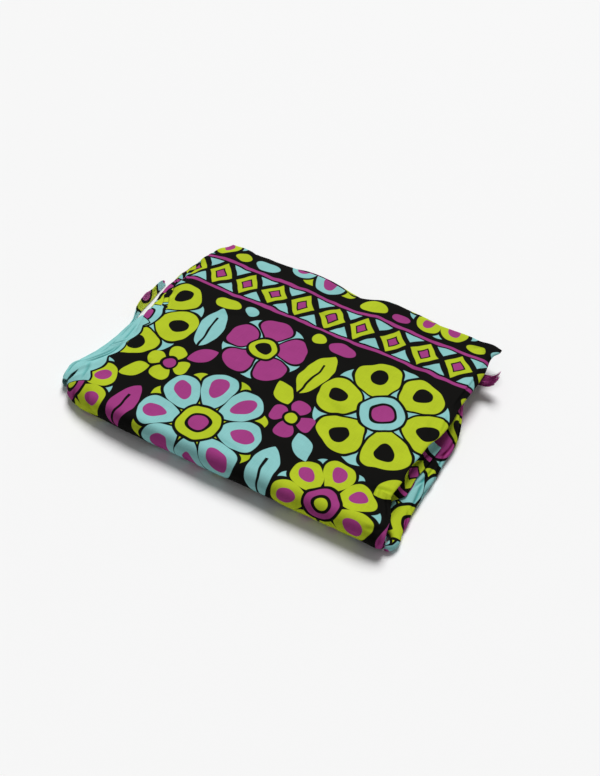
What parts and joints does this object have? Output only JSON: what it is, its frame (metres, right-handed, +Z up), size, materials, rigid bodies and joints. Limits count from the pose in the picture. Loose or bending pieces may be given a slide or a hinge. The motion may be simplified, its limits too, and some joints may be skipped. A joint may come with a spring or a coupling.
{
  "type": "folded sarong",
  "caption": "Wrap skirt cloth folded flat into a soft rectangular stack, with a rounded front fold, pleated sides and a short fringe tuft.",
  "frame": {"origin": "on the underside of the stack, under the middle of its plan", "axes": "+X along the long side of the stack, +Y from the rounded front fold towards the open back edges, +Z up from the surface it lies on"},
  "size_m": [0.3066, 0.2192, 0.0225],
  "materials": {
    "top_stretch_cloth": "soft matt",
    "hidden_layers_cloth": "soft matt",
    "under_stretch_cloth": "soft matt",
    "left_fold_cloth": "soft matt",
    "loose_leaf_cloth": "soft matt",
    "lower_fold_cloth": "soft matt",
    "side_fold_cloth": "soft matt",
    "second_ply_cloth": "soft matt",
    "fringe_tuft_cloth": "soft matt"
  },
  "bodies": {
    "root": {"top_stretch": "top_stretch_cloth", "hidden_layers": "hidden_layers_cloth", "under_stretch": "under_stretch_cloth", "left_fold": "left_fold_cloth", "loose_leaf": "loose_leaf_cloth", "lower_fold": "lower_fold_cloth", "side_fold": "side_fold_cloth", "second_ply": "second_ply_cloth", "fringe_tuft": "fringe_tuft_cloth"}
  },
  "joints": []
}
